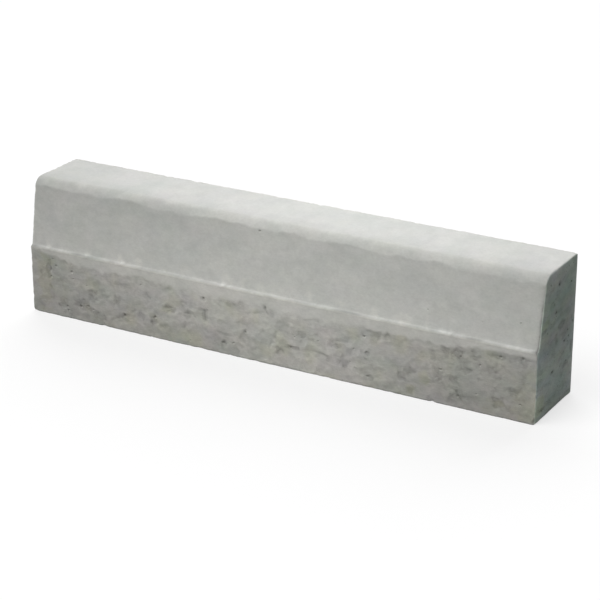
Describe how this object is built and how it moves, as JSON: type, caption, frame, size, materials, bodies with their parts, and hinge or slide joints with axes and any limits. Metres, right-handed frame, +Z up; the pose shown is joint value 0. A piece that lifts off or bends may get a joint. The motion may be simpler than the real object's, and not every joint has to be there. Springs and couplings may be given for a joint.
{
  "type": "kerb stone",
  "caption": "Long precast concrete road kerb with an upright plinth, a narrow ledge, a leaning face and a rounded nose, laid end to end along a road edge.",
  "frame": {"origin": "middle of the bed, the face the stone is laid on", "axes": "+X along the stone's length, +Y from the road face towards the back, +Z up"},
  "size_m": [1, 0.15, 0.25],
  "materials": {
    "concrete": "cast grey concrete, smooth on the leaning face and top, rough and pitted on the plinth and ends"
  },
  "bodies": {
    "root": {"kerb_stone": "concrete"}
  },
  "joints": []
}
